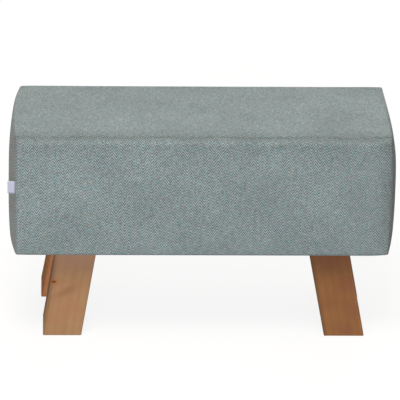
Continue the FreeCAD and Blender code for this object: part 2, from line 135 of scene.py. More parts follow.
def mottle(place, size, detail, distortion=0.0):
    """Soft random light and dark in lumps of about one size."""
    return add(place.id_data, "TexNoise", {
        "Vector": place, "Scale": 1 / size, "Detail": detail, "Distortion": distortion,
    }).outputs["Fac"]


def mapped(place, **changes):
    """Coordinates that are moved, turned or stretched."""
    inputs = {name.title(): value for name, value in changes.items()}
    return add(place.id_data, "Mapping", {"Vector": place, **inputs}).outputs[0]


def bumped(strength, distance, height):
    """A surface normal that follows small heights."""
    return add(height.id_data, "Bump", {
        "Strength": strength, "Distance": distance, "Height": height,
    }).outputs[0]


def blank_material(name):
    """A named material with an empty node tree."""
    material = bpy.data.materials.new(name)
    material.use_nodes = True
    material.node_tree.nodes.clear()
    return material, material.node_tree


def surfaced(material, inputs):
    """The material, ended by one shader with these inputs."""
    shader = add(material.node_tree, "BsdfPrincipled", inputs).outputs[0]
    add(material.node_tree, "OutputMaterial", {"Surface": shader})
    return material


print("half grey in linear light:", round(linear("#808080")[0], 3))

# %% [markdown]
# ## Tweed
# The cover is a chunky wool-and-acrylic tweed in a 2/2 herringbone: light sage yarns run up the cloth and
# darker blue-green ones across it, and the twill reverses every eight yarns, which gives columns 18 mm
# wide of steep zigzag lines. A picture of the weave could be painted, but it is exact and cheaper to
# count yarns: the cloth's own coordinates, in metres, are divided by the yarn spacing, and whole numbers
# of yarns say which of the two lies on top. Fractions round each yarn off for the bump. Flecks of other
# shades that were spun into the wool break the zigzag up, and patches of the cloth lean to teal or to
# mauve.

# %% Tweed material
WARP_PITCH = 1.125 * MM
WEFT_PITCH = 1.625 * MM
COLUMN_YARNS = 8
TWILL_YARNS = 4
SLUB = 3.846 * MM
FLECK = 2.1 * MM  # a real fleck is about 1 mm wide; it is drawn coarser, so that it shows
CAST_PATCH = 12 * MM
CLOUD = 111.1 * MM
TEAL_CAST = (0.93, 1.02, 1.06, 1)
MAUVE_CAST = (1.06, 0.985, 1.0, 1)
# Painted shade along the front seam: the share of colour left where it is darkest
DARKEST_SEAM_SHADE = 0.6
YARN_RELIEF = 0.5 * MM


def herringbone_tweed():
    """Dull and soft to the eye, with a light halo of fibres at glancing angles and flecks of other shades."""
    material, tree = blank_material("herringbone_wool_tweed")
    cloth = add(tree, "UVMap", uv_map="weave").outputs["UV"]
    place = add(tree, "SeparateXYZ", {0: cloth}).outputs
    warp = maths("DIVIDE", place["X"], WARP_PITCH)
    weft = maths("DIVIDE", place["Y"], WEFT_PITCH)
    warp_number = maths("FLOOR", warp)
    weft_number = maths("FLOOR", weft)

    # The zigzag: the step of the twill climbs for eight yarns, then falls for eight
    centred = maths("ADD", warp_number, 0.5)
    zigzag = maths("PINGPONG", centred, COLUMN_YARNS)
    step = maths("FLOOR", zigzag)
    line = maths("SUBTRACT", weft_number, step)
    phase = maths("FLOORED_MODULO", line, TWILL_YARNS)
    warp_on_top = maths("LESS_THAN", phase, 1.5)

    # Shade differs from crossing to crossing and along each yarn
    crossing = add(tree, "CombineXYZ", {"X": warp_number, "Y": weft_number}).outputs[0]
    twist = add(tree, "TexWhiteNoise", {"Vector": crossing}, noise_dimensions="2D").outputs["Value"]
    stretch = mapped(cloth, scale=(1, 0.25, 1))
    slub = mottle(stretch, SLUB, 3)
    light = blend(twist, "#a0aca8", "#8ea1a4")
    dark = blend(twist, "#5f6c6c", "#707b7d")
    woven = blend(warp_on_top, dark, light)

    # Flecks: each cell has its own shade, and patches of cloth lean to teal or to mauve
    flecks = add(tree, "TexVoronoi", {"Vector": cloth, "Scale": 1 / FLECK}, voronoi_dimensions="2D").outputs
    fleck = add(tree, "SeparateColor", {0: flecks["Color"]}).outputs
    cast = mottle(cloth, CAST_PATCH, 3)
    lean = ramp(cast, 0.35, 0.65)
    tint = blend(lean, TEAL_CAST, MAUVE_CAST)
    tinted = blend(1.0, woven, tint, "MULTIPLY")
    stray = ramp(fleck["Green"], 0.8, 1.0, 0.0, 0.2)
    mixed = blend(stray, tinted, "#8d8272")
    cloud = mottle(cloth, CLOUD, 3)
    wear_and_side_shade = maths("ADD", slub, cloud)
    shade = ramp(wear_and_side_shade, 0.6, 1.4, 0.83, 1.17)
    spun = ramp(fleck["Red"], low=0.75, high=1.25)
    strength = maths("MULTIPLY", shade, spun)
    # Painted shade along the front seam, read from the cover's attribute, darkens the cloth
    painted_seam_shade = add(tree, "Attribute", attribute_name="painted_seam_shade").outputs["Fac"]
    seam_shading = ramp(painted_seam_shade, low=1.0, high=DARKEST_SEAM_SHADE)
    strength = maths("MULTIPLY", strength, seam_shading)
    colour = blend(1.0, mixed, strength, "MULTIPLY")

    # Each yarn is round across and dips where it goes under the next
    heights = []
    for count in (warp, weft):
        part = maths("FRACT", count)
        wave = maths("PINGPONG", part, 1.0)
        rest = maths("SUBTRACT", 1.0, wave)
        arch = maths("MULTIPLY", wave, rest)
        heights.append(maths("MULTIPLY", arch, 4.0))
    yarn = add(tree, "Mix", {0: warp_on_top, 2: heights[1], 3: heights[0]}).outputs[0]
    hairy = maths("MULTIPLY_ADD", slub, 0.6, yarn)
    bump = bumped(0.5, YARN_RELIEF, hairy)
    return surfaced(material, {
        "Base Color": colour, "Roughness": 0.92, "Specular IOR Level": 0.2, "Sheen Weight": 0.08,
        "Sheen Roughness": 0.4, "Normal": bump,
    })


tweed = herringbone_tweed()
print("tweed: column", 2 * COLUMN_YARNS * WARP_PITCH, "m, twill line", TWILL_YARNS * WEFT_PITCH, "m")

# %% [markdown]
# ## The padded block before it is stuffed
# On the real bench a panel of cloth comes up from under the front, turns over the front edge and is sewn
# to the seat panel a little way in from it. The rear is made the same way, a bulging panel closes each
# end, and everything is stapled under the frame. A box could be remeshed and inflated, but that loses the
# seams. Instead five grids are laid over the block's outline so that neighbours meet point for point: the
# seams stay known all the way, and the grids carry the weave's coordinates, measured along the cloth. The
# outline is slightly slimmer than the finished block, because the stuffing fills it out.

# %% Outline of the block
UNDERSIDE = 196 * MM
HALF_DEPTH = 165 * MM
EDGE_HEIGHT = 446 * MM
TOP_ROUND = 9 * MM
BOTTOM_ROUND = 4 * MM
FLAT_TOP = HALF_DEPTH - TOP_ROUND
SIDE_TOP = EDGE_HEIGHT - TOP_ROUND
SIDE_FOOT = UNDERSIDE + BOTTOM_ROUND
EDGE_SAG = 1.5 * MM
HALF_LENGTH = 386 * MM
TACKED_Y = 116.4 * MM
TACKED_X = 342.4 * MM
SLACK_SIDE = 2.4 * MM
SLACK_CROWN = 3.0 * MM
SLACK_END = 2.0 * MM

# The two ends were stuffed by hand and differ. Sizes are in mm. Seams: half length at the seams of the
# end. Top and full: its swell along the top edge and where it is fullest. Grow: depth below the top over
# which it gets there. Draw: how far its seams are drawn in, along the top, at the rear top corner, low
# down, and at the bottom corners.
LEFT, RIGHT = -1, 1
ENDS = {
    LEFT: {"seams": 382.7, "top": 10.3, "full": 17.2, "grow": 85, "draw_top": 0.5, "draw_rear": 5.8,
           "draw_low": -1.0, "draw_corner": 0.5},
    RIGHT: {"seams": 384.6, "top": 2.5, "full": 17.2, "grow": 108, "draw_top": 3.0, "draw_rear": -0.5,
            "draw_low": 5.6, "draw_corner": -1.0},
}
HIGH_REACH = 60 * MM
LOW_REACH = 80 * MM
CORNER_REACH = 28 * MM
CORNER_POWER = 12
TURN_IN = {LEFT: 3 * MM, RIGHT: 15 * MM}
TURN_IN_REAR = 1.5 * MM
TURN_WIDTH = 0.11  # share of the half length over which the front and rear turn in towards an end
TURN_AT_FOOT = 0.4  # share of the turn that is left at the bottom edge
TURN_POWER = 4  # the higher, the less the middle of an end moves

MARGIN_CELLS, FOOT_CELLS, SIDE_CELLS, ROUND_CELLS, SEAT_CELLS = 6, 2, 48, 4, 62
LAP_CELLS = 3  # cells of the seat that the front and rear cloth cover before their seams, 15 mm
LENGTH_CELLS = 156
FRONT_CELLS = MARGIN_CELLS + FOOT_CELLS + SIDE_CELLS + ROUND_CELLS
SECTION_CELLS = 2 * FRONT_CELLS + SEAT_CELLS
SEAM_CELL = FRONT_CELLS + LAP_CELLS


def fading(gap, reach):
    """From one at an edge to nothing at a reach from it, with no kink."""
    return min(1.0, max(0.0, 1 - gap / reach)) ** 2


def end_reach(side, y, z):
    """Distance from the middle of the bench to one end at a place on that end."""
    size = ENDS[side]
    across = min(1.0, abs(y) / HALF_DEPTH)
    below = EDGE_HEIGHT - z
    swell = size["full"] - (size["full"] - size["top"]) * fading(below, size["grow"] * MM)
    draw = size["draw_top"] * fading(below, HIGH_REACH)
    draw += size["draw_rear"] * fading(below, HIGH_REACH) * max(0.0, y / HALF_DEPTH) ** 2
    draw += size["draw_low"] * fading(z - UNDERSIDE, LOW_REACH) * math.sin(math.pi / 2 * across)
    draw += size["draw_corner"] * fading(z - UNDERSIDE, CORNER_REACH) * across ** CORNER_POWER
    return (size["seams"] - draw + swell * (1 - across ** 2)) * MM - SLACK_END * (1 - across ** 2)


def section_point(cell):
    """A point round the cross-section, in cells from the tacked edge under the front."""
    if cell > SECTION_CELLS / 2:
        y, z = section_point(SECTION_CELLS - cell)
        return -y, z
    if cell <= MARGIN_CELLS:
        flat = HALF_DEPTH - BOTTOM_ROUND - TACKED_Y
        share = cell / MARGIN_CELLS
        return -TACKED_Y - flat * share, UNDERSIDE - EDGE_SAG * share
    cell -= MARGIN_CELLS
    if cell <= FOOT_CELLS:
        angle = math.pi / 2 * cell / FOOT_CELLS
        y = HALF_DEPTH - BOTTOM_ROUND + BOTTOM_ROUND * math.sin(angle)
        return -y, UNDERSIDE - EDGE_SAG + (BOTTOM_ROUND + EDGE_SAG) * (1 - math.cos(angle))
    cell -= FOOT_CELLS
    if cell <= SIDE_CELLS:
        share = cell / SIDE_CELLS
        return -HALF_DEPTH - SLACK_SIDE * 4 * share * (1 - share), SIDE_FOOT + (SIDE_TOP - SIDE_FOOT) * share
    cell -= SIDE_CELLS
    if cell <= ROUND_CELLS:
        angle = math.pi / 2 * cell / ROUND_CELLS
        return -FLAT_TOP - TOP_ROUND * math.cos(angle), SIDE_TOP + TOP_ROUND * math.sin(angle)
    share = (cell - ROUND_CELLS) / SEAT_CELLS
    return FLAT_TOP * (2 * share - 1), EDGE_HEIGHT + SLACK_CROWN * 4 * share * (1 - share)


along_cloth = [0.0]
for cell in range(SECTION_CELLS):
    start, end = Vector(section_point(cell)), Vector(section_point(cell + 1))
    along_cloth.append(along_cloth[-1] + (end - start).length)
print("strip of cloth round the section:", round(along_cloth[-1], 3), "m")

# %% [markdown]
# ## Five panels laid out
# Each panel is a grid from `create_grid`, whose points are then moved to their places on the outline. The
# end panels fill a shape with rounded corners, so their inner points are blended from the four edges, and
# a second grid makes the flap that turns under the frame. The front seam isn't quite straight, and the
# front turns in a little towards both ends.

# %% Panels of the shell
PANELS = ("front", "top", "rear", "left_end", "right_end")
shell = bmesh.new()
panel_number = shell.faces.layers.int.new("panel")
weave = shell.loops.layers.uv.new("weave")


def lay_panel(panel, columns, rows, place, cloth_place):
    """A grid whose points go to their places and whose corners get the weave's coordinates."""
    made = bmesh.ops.create_grid(shell, x_segments=columns, y_segments=rows, size=1)["verts"]
    cells = {}
    for vert in made:
        cells[vert] = round((vert.co.x + 1) / 2 * columns), round((vert.co.y + 1) / 2 * rows)
    for vert, cell in cells.items():
        vert.co = place(*cell)
    for face in {face for vert in made for face in vert.link_faces}:
        face[panel_number] = PANELS.index(panel)
        for loop in face.loops:
            loop[weave].uv = cloth_place(*cells[loop.vert])


# How far the front seam strays in cells, how often along the bench, how many cells of the grid follow it,
# and a power: the higher, the nearer to the ends the seam goes on straying
SEAM_WAVE = 1.3
SEAM_WAVE_SCALE = 6
SEAM_WAVE_CELLS = 4
STRAIGHT_POWER = 8


def turned_in(side, y, z, share):
    """Depth of a point after the corners of the block have been turned in; a share of one is at the end."""
    near_end = max(0.0, (share - 1 + TURN_WIDTH) / TURN_WIDTH) ** 2
    turn_in = TURN_IN[side] if y < 0 else -TURN_IN_REAR
    near_end *= 1 - (1 - TURN_AT_FOOT) * fading(z - UNDERSIDE, LOW_REACH)
    return y + turn_in * near_end * (y / HALF_DEPTH) ** TURN_POWER


def strip_place(first):
    """Where the cells of a panel of the long strip lie, from its first cell round the section."""

    def place(column, row):
        share = 2 * column / LENGTH_CELLS - 1
        side = LEFT if share < 0 else RIGHT
        near_seam = math.exp(-(((first + row - SEAM_CELL) / SEAM_WAVE_CELLS) ** 2))
        near_seam *= 1 - share ** STRAIGHT_POWER
        wave = SEAM_WAVE * noise.noise(Vector((share * SEAM_WAVE_SCALE, 0, 0)))
        y, z = section_point(first + row + wave * near_seam)
        return Vector((share * end_reach(side, y, z), turned_in(side, y, z, abs(share)), z))

    return place


def strip_weave(first):
    """The weave runs straight along the bench and follows the cloth round the section."""
    place = strip_place(first)
    return lambda column, row: (place(column, row).x, along_cloth[first + row])


for panel, first, rows in (
    ("front", 0, SEAM_CELL), ("top", SEAM_CELL, SEAT_CELLS - 2 * LAP_CELLS),
    ("rear", SECTION_CELLS - SEAM_CELL, SEAM_CELL),
):
    lay_panel(panel, LENGTH_CELLS, rows, strip_place(first), strip_weave(first))

END_COLUMNS = SEAT_CELLS + ROUND_CELLS
END_ROWS = FOOT_CELLS + SIDE_CELLS + ROUND_CELLS // 2
FLAP_COLUMNS = END_COLUMNS - 2 * MARGIN_CELLS
FLAP_ROWS = 7
MERGE_DISTANCE = 0.01 * MM


def end_foot(column):
    """A point along the foot of an end panel."""
    if column <= MARGIN_CELLS:
        return Vector(section_point(MARGIN_CELLS - column))
    if column >= END_COLUMNS - MARGIN_CELLS:
        y, z = end_foot(END_COLUMNS - column)
        return Vector((-y, z))
    share = (column - MARGIN_CELLS) / FLAP_COLUMNS
    return Vector((TACKED_Y * (2 * share - 1), UNDERSIDE))


def end_outline(column, row):
    """A point of an end panel seen from its side, blended from the panel's four edges."""
    u, v = column / END_COLUMNS, row / END_ROWS
    corner_cell = MARGIN_CELLS + END_ROWS
    front, rear = Vector(section_point(MARGIN_CELLS + row)), Vector(section_point(MARGIN_CELLS + row))
    rear.x = -rear.x
    foot, head = end_foot(column), Vector(section_point(corner_cell + column))
    low, high = Vector(section_point(MARGIN_CELLS)), Vector(section_point(corner_cell))
    corners = (low * (1 - v) + high * v) * (1 - u)
    corners += (Vector((-low.x, low.y)) * (1 - v) + Vector((-high.x, high.y)) * v) * u
    return foot * (1 - v) + head * v + front * (1 - u) + rear * u - corners


for side, panel in ((LEFT, "left_end"), (RIGHT, "right_end")):

    def end_place(column, row):
        y, z = end_outline(column, row)
        return Vector((side * end_reach(side, y, z), turned_in(side, y, z, 1), z))

    def flap_place(column, row):
        y, z = end_foot(MARGIN_CELLS + column)
        share = row / FLAP_ROWS
        x = end_reach(side, y, z) * (1 - share) + TACKED_X * share
        return Vector((side * x, turned_in(side, y, z, 1), z))

    def flap_weave(column, row):
        spot = flap_place(column, row)
        return side * spot.y, UNDERSIDE - (end_reach(side, spot.y, UNDERSIDE) - abs(spot.x))

    lay_panel(panel, END_COLUMNS, END_ROWS, end_place,
              lambda column, row: (side * end_outline(column, row)[0], end_outline(column, row)[1]))
    lay_panel(panel, FLAP_COLUMNS, FLAP_ROWS, flap_place, flap_weave)

bmesh.ops.remove_doubles(shell, verts=shell.verts, dist=MERGE_DISTANCE)
bmesh.ops.recalc_face_normals(shell, faces=shell.faces)


def seam_points(bm):
    """The points where panels meet, by the pair of panels that meet there."""
    layer = bm.faces.layers.int["panel"]
    found = {}
    for vert in bm.verts:
        met = frozenset(face[layer] for face in vert.link_faces)
        if len(met) > 1:
            found[vert.index] = met
    return found


shell.verts.index_update()
print("shell:", len(shell.verts), "points,", len(seam_points(shell)), "of them on seams")

# %% [markdown]
# ## Stuffing
# The padding presses the cloth outward and the seams hold it back, so each panel swells most in its middle
# and draws in along its seams. Blender's Cloth does this with air pressure on a shell whose seams and tacked
# edges are pinned. Pressure in a simulation has no exact match in foam, so the result is then scaled panel by
# panel until the fullest point stands as far out as on the real bench.

# %% Cloth simulation of the padded shell
FRAMES = 20
SOLVER_STEPS = 5
CLOTH_MASS = 0.3
PRESSURE = 4
BENDING = 2
HELD_ABOVE_FOOT = 1 * MM
SWELL = {"front": 1.0 * MM, "top": 1.6 * MM, "rear": 1.0 * MM, "left_end": 2.5 * MM, "right_end": 2.5 * MM}
OUTWARD = {"front": Vector((0, -1, 0)), "top": Vector((0, 0, 1)), "rear": Vector((0, 1, 0)),
           "left_end": Vector((-1, 0, 0)), "right_end": Vector((1, 0, 0))}


def stuffed(bm):
    """Every point's move after air has pressed the cloth outward for a few frames."""
    mesh = bpy.data.meshes.new("stuffing_trial")
    bm.to_mesh(mesh)
    trial = bpy.data.objects.new("stuffing_trial", mesh)
    scene = bpy.context.scene
    scene.collection.objects.link(trial)
    held = set(seam_points(bm)) | {v.index for v in bm.verts if v.co.z < SIDE_FOOT + HELD_ABOVE_FOOT}
    trial.vertex_groups.new(name="held").add(sorted(held), 1.0, "REPLACE")
    cloth = trial.modifiers.new("stuffing", "CLOTH")
    cloth.settings.quality = SOLVER_STEPS
    cloth.settings.mass = CLOTH_MASS
    cloth.settings.use_pressure = True
    cloth.settings.uniform_pressure_force = PRESSURE
    cloth.settings.bending_stiffness = BENDING
    cloth.settings.vertex_group_mass = "held"
    cloth.settings.effector_weights.gravity = 0
    cloth.collision_settings.use_self_collision = False
    cloth.point_cache.frame_end = FRAMES
    for number in range(1, FRAMES + 1):
        scene.frame_set(number)
    moved = trial.evaluated_get(bpy.context.evaluated_depsgraph_get()).data
    moves = [after.co - before.co for after, before in zip(moved.vertices, mesh.vertices)]
    scene.frame_set(1)
    bpy.data.objects.remove(trial)
    bpy.data.meshes.remove(mesh)
    return moves


moves = stuffed(shell)
for index, panel in enumerate(PANELS):
    own = [v for v in shell.verts if {face[panel_number] for face in v.link_faces} == {index}]
    fullest = max(moves[v.index].dot(OUTWARD[panel]) for v in own)
    for vert in own:
        vert.co += moves[vert.index] * (SWELL[panel] / fullest)
    print("stuffed:", panel, "swells", round(fullest / MM, 2), "mm, scaled to", SWELL[panel] / MM, "mm")

# %% [markdown]
# ## Seams
# A long seam shows as a shallow valley: both cloths roll over into it, and the seat panel sinks a little
# on its way there. After one smooth subdivision the points near it are pushed inward, deepest on the
# stitches, and a soft roll swells on both sides of them, where the cloth is full again. Painted shade along
# the front seam goes into an attribute for the tweed to read; it wanders along the seam, as hand-guided
# sewing does. The rear seam and the seams of the ends are stretched nearly flat and get no painted shade.

# %% Subdivided shell with seam valleys
# Valleys of the long seams and of the seams at the ends
LONG_DEPTH = {"front": 2.6 * MM, "rear": 0.4 * MM}
LONG_REACH = 4.5 * MM
END_DEPTH = 0.6 * MM
END_REACH = 3 * MM
# The roll beside a long seam, and the dip of the seat towards it
ROLL_HEIGHT = {"front": 0.7 * MM, "rear": 0.0}
ROLL_GAP = 11 * MM
ROLL_REACH = 5 * MM
DIP_DEPTH = {"front": 2.4 * MM, "rear": 0.0}
DIP_REACH = 22 * MM
# Painted shade along the long seams, none at the rear: sharp on the stitches, softer and wider on the seat
# and the lap
SEAM_SHADE_SHARE = {"front": 1.0, "rear": 0.0}
STITCH_SHADE = 0.4
STITCH_SHADE_REACH = 4 * MM
SHADE = {"top": 0.4, "lap": 0.6}
SHADE_REACH = {"top": 26 * MM, "lap": 30 * MM}
WANDER_SCALE = 28
WANDER = 0.7


def reworked(bm, kind, **settings):
    """A copy of a bmesh after one modifier."""
    mesh = bpy.data.meshes.new("trial")
    bm.to_mesh(mesh)
    trial = bpy.data.objects.new("trial", mesh)
    bpy.context.scene.collection.objects.link(trial)
    modifier = trial.modifiers.new("trial", kind)
    for name, value in settings.items():
        setattr(modifier, name, value)
    copy = bmesh.new()
    copy.from_object(trial, bpy.context.evaluated_depsgraph_get())
    bpy.data.objects.remove(trial)
    bpy.data.meshes.remove(mesh)
    return copy


def tree_of(points):
    """A search tree of points."""
    tree = KDTree(len(points))
    for number, point in enumerate(points):
        tree.insert(point, number)
    tree.balance()
    return tree


def bell(gap, reach):
    """One at no distance, fading softly to nothing."""
    return math.exp(-((gap / reach) ** 2))


def press_seams(bm):
    """Pushes the points near the seams inward, lets the seat dip to its long seams, and notes painted seam
    shade.
    """
    bm.verts.index_update()
    bm.verts.ensure_lookup_table()
    bm.normal_update()
    seams = {i: met for i, met in seam_points(bm).items() if bm.verts[i].co.z > SIDE_FOOT}
    layer = bm.faces.layers.int["panel"]
    seat = PANELS.index("top")
    pairs = {row: {seat, PANELS.index(row)} for row in ("front", "rear")}
    long_seams = {row: tree_of([bm.verts[i].co for i, met in seams.items() if met == pair])
                  for row, pair in pairs.items()}
    end_seams = tree_of([bm.verts[i].co for i, met in seams.items() if met not in pairs.values()])
    painted_seam_shade = bm.verts.layers.float.new("painted_seam_shade")
    pushes = []
    for vert in bm.verts:
        wander = 1 + WANDER * noise.noise(vert.co * WANDER_SCALE)
        push = END_DEPTH * bell(end_seams.find(vert.co)[2], END_REACH)
        on_seat = any(face[layer] == seat for face in vert.link_faces)
        for row, tree in long_seams.items():
            gap = tree.find(vert.co)[2]
            push += LONG_DEPTH[row] * bell(gap, LONG_REACH)
            push -= ROLL_HEIGHT[row] * bell(gap - ROLL_GAP, ROLL_REACH)
            if on_seat:
                push += DIP_DEPTH[row] * bell(gap, DIP_REACH)
            # Painted shade near the long seams, stored for the tweed to darken by
            cloth = "top" if on_seat else "lap"
            shade = SHADE[cloth] * bell(gap, SHADE_REACH[cloth])
            seam_shading = shade + STITCH_SHADE * wander * bell(gap, STITCH_SHADE_REACH)
            vert[painted_seam_shade] = max(vert[painted_seam_shade], SEAM_SHADE_SHARE[row] * seam_shading)
        pushes.append((vert, push))
    for vert, push in pushes:
        vert.co -= vert.normal * push


fine_shell = reworked(shell, "SUBSURF", levels=1, render_levels=1)
press_seams(fine_shell)
print("fine shell:", len(fine_shell.faces), "faces")

# %% [markdown]
# ## Cover panels
# The shell is now parted along its seams, so that each panel is a piece of its own, as it was cut and sewn.
# A piece rides on the bench's body and hides the CAD nodes it stands for. Each panel gets the thickness of
# the tweed on its inside. The front and rear panels are notched round the legs where they turn under the
# frame.

# %% Cover pieces
FABRIC = 1.6 * MM
NOTCH_GAP = 1 * MM
LEG_TOP = 1 * MM
MARGIN_LEVEL = UNDERSIDE + 0.3 * MM
CUT_TOLERANCE = 0.001 * MM
ALONG, ACROSS = Vector((1, 0, 0)), Vector((0, 1, 0))


def piece(name, bm, material, slot, *stands_for):
    """A smooth-shaded object made from a bmesh, in place on the bench, that hides the CAD nodes it stands
    for.
    """
    mesh = bpy.data.meshes.new(name)
    bm.to_mesh(mesh)
    bm.free()
    mesh.shade_smooth()
    mesh.materials.append(material)
    made = bpy.data.objects.new(name, mesh)
    bpy.context.scene.collection.objects.link(made)
    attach(made, "root")
    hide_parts(*stands_for)
    print("piece:", name, len(mesh.polygons), "faces")
    return made


def thicken(made, thickness, offset=-1):
    """Gives a sheet its thickness, all of it on the inside unless told otherwise."""
    depth = made.modifiers.new("thickness", "SOLIDIFY")
    depth.thickness = thickness
    depth.offset = offset


def notch_legs(bm, row, wall_in_front):
    """Cuts tacked cloth clear of the legs of one row; each notch ends in front of its leg or behind it."""
    for side in ("left", "right"):
        name = f"{row}_{side}_leg"
        low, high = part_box(name)
        top_x = [v.co.x for v in nodes[name].data.vertices if v.co.z > high.z - LEG_TOP]
        start, end = min(top_x) - NOTCH_GAP, max(top_x) + NOTCH_GAP
        wall = low.y - NOTCH_GAP if wall_in_front else high.y + NOTCH_GAP
        for value, normal in ((start, ALONG), (end, ALONG), (wall, ACROSS)):
            margin = [f for f in bm.faces if f.calc_center_median().z < MARGIN_LEVEL]
            geometry = {*margin, *(e for f in margin for e in f.edges), *(v for f in margin for v in f.verts)}
            bmesh.ops.bisect_plane(bm, geom=list(geometry), dist=CUT_TOLERANCE, plane_co=normal * value,
                                   plane_no=normal)
        hole = []
        for face in bm.faces:
            spot = face.calc_center_median()
            past_wall = spot.y > wall if wall_in_front else spot.y < wall
            if spot.z < MARGIN_LEVEL and start < spot.x < end and past_wall:
                hole.append(face)
        bmesh.ops.delete(bm, geom=hole, context="FACES")


covers = {}
for index, panel in enumerate(PANELS):
    part = fine_shell.copy()
    layer = part.faces.layers.int["panel"]
    others = [face for face in part.faces if face[layer] != index]
    bmesh.ops.delete(part, geom=others, context="FACES")
    if panel in ("front", "rear"):
        notch_legs(part, panel, wall_in_front=panel == "front")
    cover = piece(f"{panel}_cover", part, tweed, "cover_tweed", f"cover_{panel}_panel")
    thicken(cover, FABRIC)
    covers[panel] = cover
fine_shell.free()

# %% [markdown]
# ## Wadding
# A sheet of white polyester fibre lies between foam and cover, so that the tweed slides over the foam and
# edges look soft. It has the cover's own form, a little smaller, so it is made from the coarse shell: seams
# pressed in, every point drawn in by the cloth's thickness, and the tacked margin left off.

# %% Polyester wadding
COVER_CLEARANCE = 2.2 * MM
WADDING = 3.2 * MM
CLUMP = 14.29 * MM
HAIR = 1.111 * MM  # a real fibre is far finer; it is drawn coarser, so that it shows


def polyester_fibre():
    """Cloudy white with a soft, matted surface and no shine."""
    material, tree = blank_material("polyester_fibre_wadding")
    spot = add(tree, "TexCoord").outputs["Object"]
    clump = mottle(spot, CLUMP, 6)
    hair = mottle(spot, HAIR, 2, 2.0)
    colour = blend(clump, "#dcdcd6", "#f4f4f0")
    depth = maths("MULTIPLY_ADD", hair, 0.5, clump)
    bump = bumped(0.6, 1.5 * MM, depth)
    return surfaced(material, {
        "Base Color": colour, "Roughness": 0.95, "Specular IOR Level": 0.1, "Sheen Weight": 0.3,
        "Normal": bump,
    })


press_seams(shell)
low_faces = [face for face in shell.faces if face.calc_center_median().z < SIDE_FOOT]
bmesh.ops.delete(shell, geom=low_faces, context="FACES")
shell.normal_update()
for vert in shell.verts:
    vert.co -= vert.normal * COVER_CLEARANCE
wadding = piece("wadding", shell, polyester_fibre(), "wadding", "wadding_wrap")
thicken(wadding, WADDING)

# %% [markdown]
# ## Foam
# Five slabs of cut polyurethane foam pad the frame. A slab could be drawn afresh, but its CAD solid
# already has the right form, so each is a merged copy of that solid, remeshed into small even cells and
# relaxed: cut foam never keeps a hard arris. Each point is drawn in slightly so that slabs don't fight
# over one surface, and the ends of the slabs are kept under the cover's own ends.

# %% Polyurethane foam slabs
FOAM_CELL = 6 * MM
FOAM_CLEARANCE = 0.8 * MM
FOAM_BELOW_COVER = 8 * MM
FOAM_PORE = 1.2 * MM
FOAM_CLOUD = 71.43 * MM


def polyurethane_foam():
    """Pale yellow, with open cells of about a millimetre, painted darker in their pits as shade."""
    material, tree = blank_material("polyurethane_foam")
    spot = add(tree, "TexCoord").outputs["Object"]
    cells = add(tree, "TexVoronoi", {"Vector": spot, "Scale": 1 / FOAM_PORE}).outputs["Distance"]
    cloud = mottle(spot, FOAM_CLOUD, 3)
    base = blend(cloud, "#e2d29a", "#f0e4b8")
    # Painted shade: each pore is darker towards its middle
    pore_shade = ramp(cells, 0.0, 0.7, 0.72, 1.0)
    colour = blend(1.0, base, pore_shade, "MULTIPLY")
    bump = bumped(0.5, 0.6 * MM, cells)
    return surfaced(material, {
        "Base Color": colour, "Roughness": 0.95, "Specular IOR Level": 0.15, "Normal": bump,
    })


def foam_copy(node):
    """A slab's CAD solid, merged, remeshed and relaxed."""
    slab = bmesh.new()
    slab.from_mesh(nodes[node].data)
    bmesh.ops.remove_doubles(slab, verts=slab.verts, dist=MERGE_DISTANCE)
    even = reworked(slab, "REMESH", mode="VOXEL", voxel_size=FOAM_CELL)
    slab.free()
    bmesh.ops.smooth_vert(even, verts=even.verts, factor=0.5, use_axis_x=True, use_axis_y=True,
                          use_axis_z=True)
    even.normal_update()
    for vert in even.verts:
        vert.co -= vert.normal * FOAM_CLEARANCE
        side = LEFT if vert.co.x < 0 else RIGHT
        limit = end_reach(side, vert.co.y, vert.co.z)
        share = min(1.0, abs(vert.co.x) / limit)
        vert.co.x = side * min(abs(vert.co.x), limit - FOAM_BELOW_COVER)
        vert.co.y = max(vert.co.y, turned_in(side, -HALF_DEPTH, vert.co.z, share) + FOAM_BELOW_COVER)
    return even


foam_look = polyurethane_foam()
for name in ("seat_foam", "front_foam", "rear_foam", "left_end_foam", "right_end_foam"):
    slab = piece(name.replace("foam", "pad"), foam_copy(name), foam_look, "foam", name)

# %% [markdown]
# ## Side label
# A white ribbon folded in half is caught in the front left seam and sticks out by 18 mm. It is blank. One
# small grid bent into a U makes the fold; a slight curl, twist and droop keep it from looking
# like a card, and painted shade greys it where it comes out of the seam.

# %% Ribbon label
LABEL_ROOT = Vector((-381.0, -160.8, 343.3)) * MM
LABEL_LENGTH = 19.9 * MM
LABEL_HALF_HEIGHT = 13.2 * MM
LABEL_FOLD = 0.35 * MM
LABEL_ANGLE = math.radians(7.5)
LABEL_STEPS, LABEL_ROWS = 24, 10
LABEL_BEND = 1.15  # above one, the points lie closer together near the fold
LABEL_OPENING = 6  # the two sides stand apart from a sixth of the length on
LABEL_CURL = 1.1
LABEL_TWIST = 0.5
LABEL_DROOP = 0.7 * MM
RIBBON = 0.25 * MM
THREAD = 0.6 * MM  # a real thread is 0.25 mm wide; it is drawn coarser, so that it shows
STAIN = 6.25 * MM
WAVE_PERIOD = 0.314  # a wave texture of scale one repeats after this many metres
# Painted shade on the ribbon by the seam: where it begins and where it is full
SEAM_SHADE_FROM = LABEL_LENGTH - 6.2 * MM
SEAM_SHADE_TO = LABEL_LENGTH - 4.2 * MM


